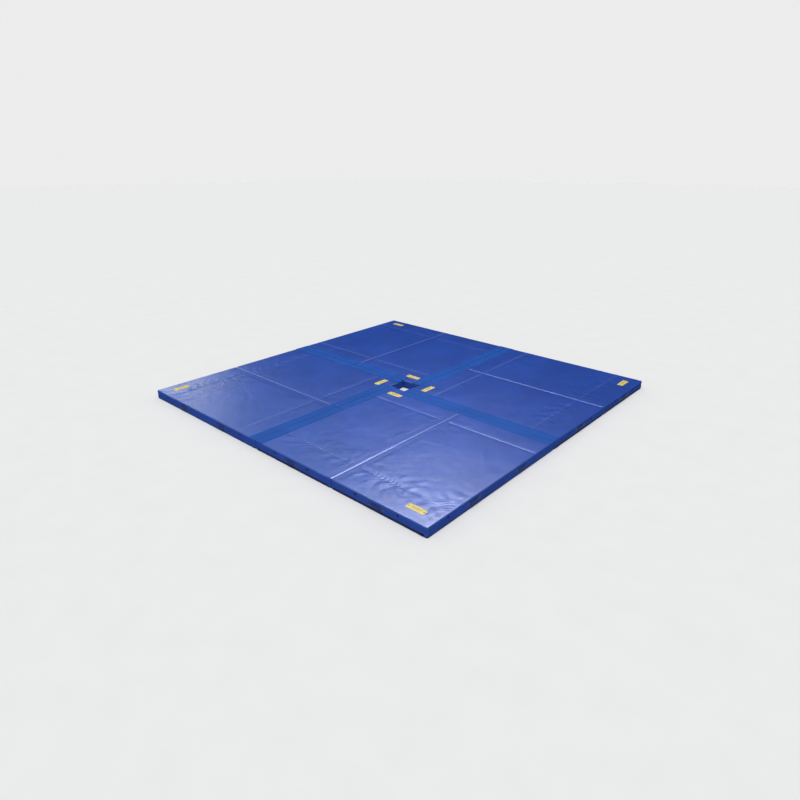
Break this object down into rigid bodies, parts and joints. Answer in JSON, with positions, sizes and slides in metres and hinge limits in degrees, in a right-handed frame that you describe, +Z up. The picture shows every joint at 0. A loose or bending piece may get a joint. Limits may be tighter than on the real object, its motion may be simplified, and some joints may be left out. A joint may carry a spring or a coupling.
{
  "type": "landing mat set",
  "caption": "Square gymnastics landing mat set: bi-fold foam mats in a pinwheel around a square hole, joined by peel-back flaps.",
  "frame": {"origin": "middle of the set's underside, on the floor, in the centre of the square hole", "axes": "+Z up, through the thickness; +X along the front mat's length, +Y along the right mat's length"},
  "size_m": [5.2136, 5.2136, 0.1233],
  "materials": {
    "cover_vinyl": "satin PVC-coated polyester",
    "soft_foam": "open-cell polyurethane foam",
    "firm_foam": "cross-linked polyethylene foam",
    "fold_vinyl": "satin PVC-coated polyester",
    "flap_vinyl": "satin PVC-coated polyester",
    "loop_pile": "napped nylon loop",
    "label_print": "printed vinyl patch",
    "webbing": "woven nylon webbing",
    "vent_plastic": "moulded rim with fine mesh",
    "zip_tape": "woven tape with nylon coil",
    "zip_metal": "dark painted zinc"
  },
  "bodies": {
    "joined_inner_halves": {"inner_soft_cores": "soft_foam", "inner_firm_layers": "firm_foam", "inner_labels": "label_print", "inner_handles": "webbing", "inner_vents": "vent_plastic", "inner_zippers": "zip_tape", "loop_strips": "loop_pile", "front_inner_cover": "cover_vinyl", "front_fold_strip": "fold_vinyl", "right_inner_cover": "cover_vinyl", "right_fold_strip": "fold_vinyl", "back_inner_cover": "cover_vinyl", "back_fold_strip": "fold_vinyl", "left_inner_cover": "cover_vinyl", "left_fold_strip": "fold_vinyl"},
    "front_outer_half": {"front_outer_cover": "cover_vinyl", "front_outer_soft_core": "soft_foam", "front_outer_firm_layer": "firm_foam", "front_outer_label": "label_print", "front_outer_handles": "webbing", "front_outer_vents": "vent_plastic", "front_outer_zipper": "zip_tape"},
    "front_inner_flap": {"front_inner_flap": "flap_vinyl"},
    "front_inner_zip_slider": {"front_inner_zip_slider": "zip_metal"},
    "front_outer_flap": {"front_outer_flap": "flap_vinyl"},
    "front_outer_zip_slider": {"front_outer_zip_slider": "zip_metal"},
    "right_outer_half": {"right_outer_cover": "cover_vinyl", "right_outer_soft_core": "soft_foam", "right_outer_firm_layer": "firm_foam", "right_outer_label": "label_print", "right_outer_handles": "webbing", "right_outer_vents": "vent_plastic", "right_outer_zipper": "zip_tape"},
    "right_inner_flap": {"right_inner_flap": "flap_vinyl"},
    "right_inner_zip_slider": {"right_inner_zip_slider": "zip_metal"},
    "right_outer_flap": {"right_outer_flap": "flap_vinyl"},
    "right_outer_zip_slider": {"right_outer_zip_slider": "zip_metal"},
    "back_outer_half": {"back_outer_cover": "cover_vinyl", "back_outer_soft_core": "soft_foam", "back_outer_firm_layer": "firm_foam", "back_outer_label": "label_print", "back_outer_handles": "webbing", "back_outer_vents": "vent_plastic", "back_outer_zipper": "zip_tape"},
    "back_inner_flap": {"back_inner_flap": "flap_vinyl"},
    "back_inner_zip_slider": {"back_inner_zip_slider": "zip_metal"},
    "back_outer_flap": {"back_outer_flap": "flap_vinyl"},
    "back_outer_zip_slider": {"back_outer_zip_slider": "zip_metal"},
    "left_outer_half": {"left_outer_cover": "cover_vinyl", "left_outer_soft_core": "soft_foam", "left_outer_firm_layer": "firm_foam", "left_outer_label": "label_print", "left_outer_handles": "webbing", "left_outer_vents": "vent_plastic", "left_outer_zipper": "zip_tape"},
    "left_inner_flap": {"left_inner_flap": "flap_vinyl"},
    "left_inner_zip_slider": {"left_inner_zip_slider": "zip_metal"},
    "left_outer_flap": {"left_outer_flap": "flap_vinyl"},
    "left_outer_zip_slider": {"left_outer_zip_slider": "zip_metal"}
  },
  "joints": [
    {"name": "front_fold", "type": "hinge", "parent": "joined_inner_halves", "child": "front_outer_half", "pos_m": [1.2292, -1.3726, 0.125], "axis": [0, -1, 0], "range_deg": [0, 180], "deforming": ["front_fold_strip"]},
    {"name": "front_inner_flap_peel", "type": "hinge", "parent": "joined_inner_halves", "child": "front_inner_flap", "pos_m": [0.6898, -0.1534, 0.1225], "axis": [1, 0, 0], "range_deg": [0, 180]},
    {"name": "front_inner_zip_pull", "type": "slide", "parent": "joined_inner_halves", "child": "front_inner_zip_slider", "axis": [1, 0, 0], "range_m": [0, 1.2]},
    {"name": "front_outer_flap_peel", "type": "hinge", "parent": "front_outer_half", "child": "front_outer_flap", "pos_m": [1.912, -0.1534, 0.1225], "axis": [1, 0, 0], "range_deg": [0, 180]},
    {"name": "front_outer_zip_pull", "type": "slide", "parent": "front_outer_half", "child": "front_outer_zip_slider", "axis": [-1, 0, 0], "range_m": [0, 1.2]},
    {"name": "right_fold", "type": "hinge", "parent": "joined_inner_halves", "child": "right_outer_half", "pos_m": [1.3726, 1.2292, 0.125], "axis": [1, 0, 0], "range_deg": [0, 180], "deforming": ["right_fold_strip"]},
    {"name": "right_inner_flap_peel", "type": "hinge", "parent": "joined_inner_halves", "child": "right_inner_flap", "pos_m": [0.1534, 0.6898, 0.1225], "axis": [0, 1, 0], "range_deg": [0, 180]},
    {"name": "right_inner_zip_pull", "type": "slide", "parent": "joined_inner_halves", "child": "right_inner_zip_slider", "axis": [0, 1, 0], "range_m": [0, 1.2]},
    {"name": "right_outer_flap_peel", "type": "hinge", "parent": "right_outer_half", "child": "right_outer_flap", "pos_m": [0.1534, 1.912, 0.1225], "axis": [0, 1, 0], "range_deg": [0, 180]},
    {"name": "right_outer_zip_pull", "type": "slide", "parent": "right_outer_half", "child": "right_outer_zip_slider", "axis": [0, -1, 0], "range_m": [0, 1.2]},
    {"name": "back_fold", "type": "hinge", "parent": "joined_inner_halves", "child": "back_outer_half", "pos_m": [-1.2292, 1.3726, 0.125], "axis": [0, 1, 0], "range_deg": [0, 180], "deforming": ["back_fold_strip"]},
    {"name": "back_inner_flap_peel", "type": "hinge", "parent": "joined_inner_halves", "child": "back_inner_flap", "pos_m": [-0.6898, 0.1534, 0.1225], "axis": [-1, 0, 0], "range_deg": [0, 180]},
    {"name": "back_inner_zip_pull", "type": "slide", "parent": "joined_inner_halves", "child": "back_inner_zip_slider", "axis": [-1, 0, 0], "range_m": [0, 1.2]},
    {"name": "back_outer_flap_peel", "type": "hinge", "parent": "back_outer_half", "child": "back_outer_flap", "pos_m": [-1.912, 0.1534, 0.1225], "axis": [-1, 0, 0], "range_deg": [0, 180]},
    {"name": "back_outer_zip_pull", "type": "slide", "parent": "back_outer_half", "child": "back_outer_zip_slider", "axis": [1, 0, 0], "range_m": [0, 1.2]},
    {"name": "left_fold", "type": "hinge", "parent": "joined_inner_halves", "child": "left_outer_half", "pos_m": [-1.3726, -1.2292, 0.125], "axis": [-1, 0, 0], "range_deg": [0, 180], "deforming": ["left_fold_strip"]},
    {"name": "left_inner_flap_peel", "type": "hinge", "parent": "joined_inner_halves", "child": "left_inner_flap", "pos_m": [-0.1534, -0.6898, 0.1225], "axis": [0, -1, 0], "range_deg": [0, 180]},
    {"name": "left_inner_zip_pull", "type": "slide", "parent": "joined_inner_halves", "child": "left_inner_zip_slider", "axis": [0, -1, 0], "range_m": [0, 1.2]},
    {"name": "left_outer_flap_peel", "type": "hinge", "parent": "left_outer_half", "child": "left_outer_flap", "pos_m": [-0.1534, -1.912, 0.1225], "axis": [0, -1, 0], "range_deg": [0, 180]},
    {"name": "left_outer_zip_pull", "type": "slide", "parent": "left_outer_half", "child": "left_outer_zip_slider", "axis": [0, 1, 0], "range_m": [0, 1.2]}
  ]
}
